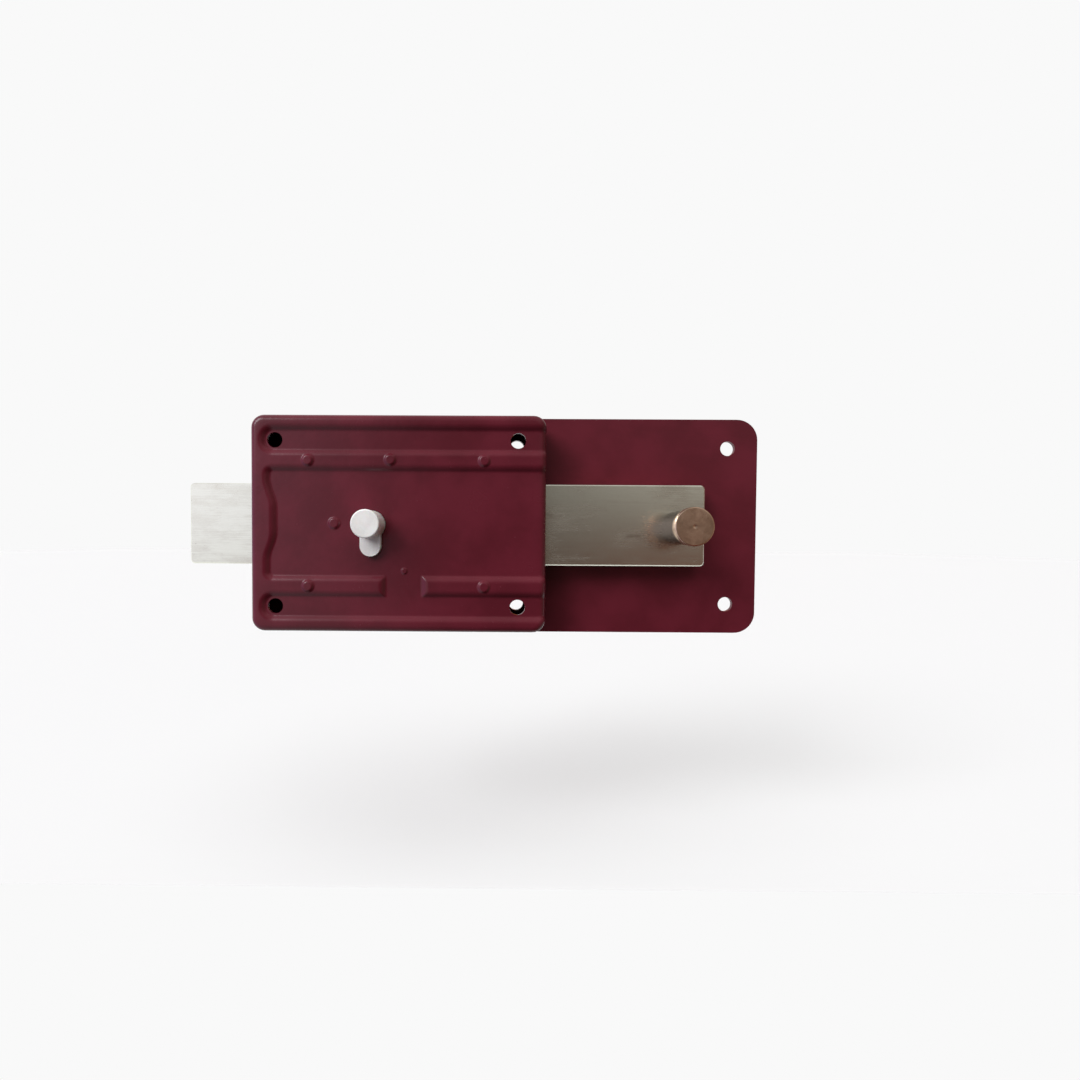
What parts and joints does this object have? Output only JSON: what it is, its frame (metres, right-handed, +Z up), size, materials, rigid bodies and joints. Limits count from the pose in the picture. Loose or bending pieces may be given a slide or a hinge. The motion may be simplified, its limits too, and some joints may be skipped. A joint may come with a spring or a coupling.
{
  "type": "rim lock",
  "caption": "Surface-mounted door lock: a flat sliding bolt with a knob in a pressed steel case, a round key cylinder behind and a push release button.",
  "frame": {"origin": "middle of the case's four fixing holes, on the plate's face that meets the door", "axes": "+X along the bolt toward its knob, +Y into the door along the key cylinder, +Z up; the room is toward -Y and the bolt is thrown toward -X"},
  "size_m": [0.2713, 0.0903, 0.104],
  "materials": {
    "painted_case": "semi-gloss dark red enamel",
    "bolt_steel": "satin nickel plate",
    "knob_steel": "turned, satin nickel plate",
    "zinc_screws": "bright zinc plate",
    "cylinder_brass": "turned, lacquered",
    "pin_brass": "bright",
    "spring_steel": "bright wire and strip",
    "works_steel": "zinc plate",
    "white_plastic": "off-white moulding",
    "yellow_label": "plain yellow label"
  },
  "bodies": {
    "lock_case": {"back_plate": "painted_case", "case_cover": "painted_case", "plate_screws": "zinc_screws", "cylinder_body": "cylinder_brass", "cylinder_screws": "zinc_screws", "button_spring": "spring_steel", "spring_rivet": "works_steel", "lever_pivot": "works_steel", "lever_clip": "works_steel", "lever_spring": "spring_steel", "blank_label": "yellow_label", "cover_pillar_1": "works_steel", "cover_pillar_2": "works_steel", "cover_pillar_3": "works_steel", "cover_pillar_4": "works_steel", "driver_pin_1": "pin_brass", "driver_pin_2": "pin_brass", "driver_pin_3": "pin_brass", "driver_pin_4": "pin_brass", "driver_pin_5": "pin_brass", "pin_spring_1": "spring_steel", "pin_spring_2": "spring_steel", "pin_spring_3": "spring_steel", "pin_spring_4": "spring_steel", "pin_spring_5": "spring_steel", "chamber_cap_1": "pin_brass", "chamber_cap_2": "pin_brass", "chamber_cap_3": "pin_brass", "chamber_cap_4": "pin_brass", "chamber_cap_5": "pin_brass"},
    "bolt": {"bolt": "bolt_steel", "bolt_knob": "knob_steel", "guide_pin": "bolt_steel"},
    "key_plug": {"cylinder_plug": "cylinder_brass", "plug_cam": "works_steel", "cam_clip": "works_steel", "bottom_pin_1": "pin_brass", "bottom_pin_2": "pin_brass", "bottom_pin_3": "pin_brass", "bottom_pin_4": "pin_brass", "bottom_pin_5": "pin_brass"},
    "release_button": {"release_button": "white_plastic"},
    "latch_lever": {"locking_lever": "works_steel", "latch_pin": "works_steel"}
  },
  "joints": [
    {"name": "bolt_slide", "type": "slide", "parent": "lock_case", "child": "bolt", "axis": [-1, 0, 0], "range_m": [-0.0274, 0.0526]},
    {"name": "plug_turn", "type": "hinge", "parent": "lock_case", "child": "key_plug", "pos_m": [-0.0024, 0, 0.0268], "axis": [0, 1, 0], "range_deg": [-112, 112]},
    {"name": "button_press", "type": "slide", "parent": "lock_case", "child": "release_button", "axis": [0, 1, 0], "range_m": [0, 0.0035], "stiffness_N_per_m": 400, "springref_m": -0.003, "deforming": ["button_spring"]},
    {"name": "lever_swing", "type": "hinge", "parent": "lock_case", "child": "latch_lever", "pos_m": [0.0037, 0, -0.0216], "axis": [0, -1, 0], "range_deg": [0, 10.5], "stiffness_Nm_per_rad": 0.1, "springref_deg": -11.46, "deforming": ["lever_spring"]}
  ],
  "couplings": [
    {"joint": "lever_swing", "follows": "button_press", "rad_per_m": 52.3}
  ]
}
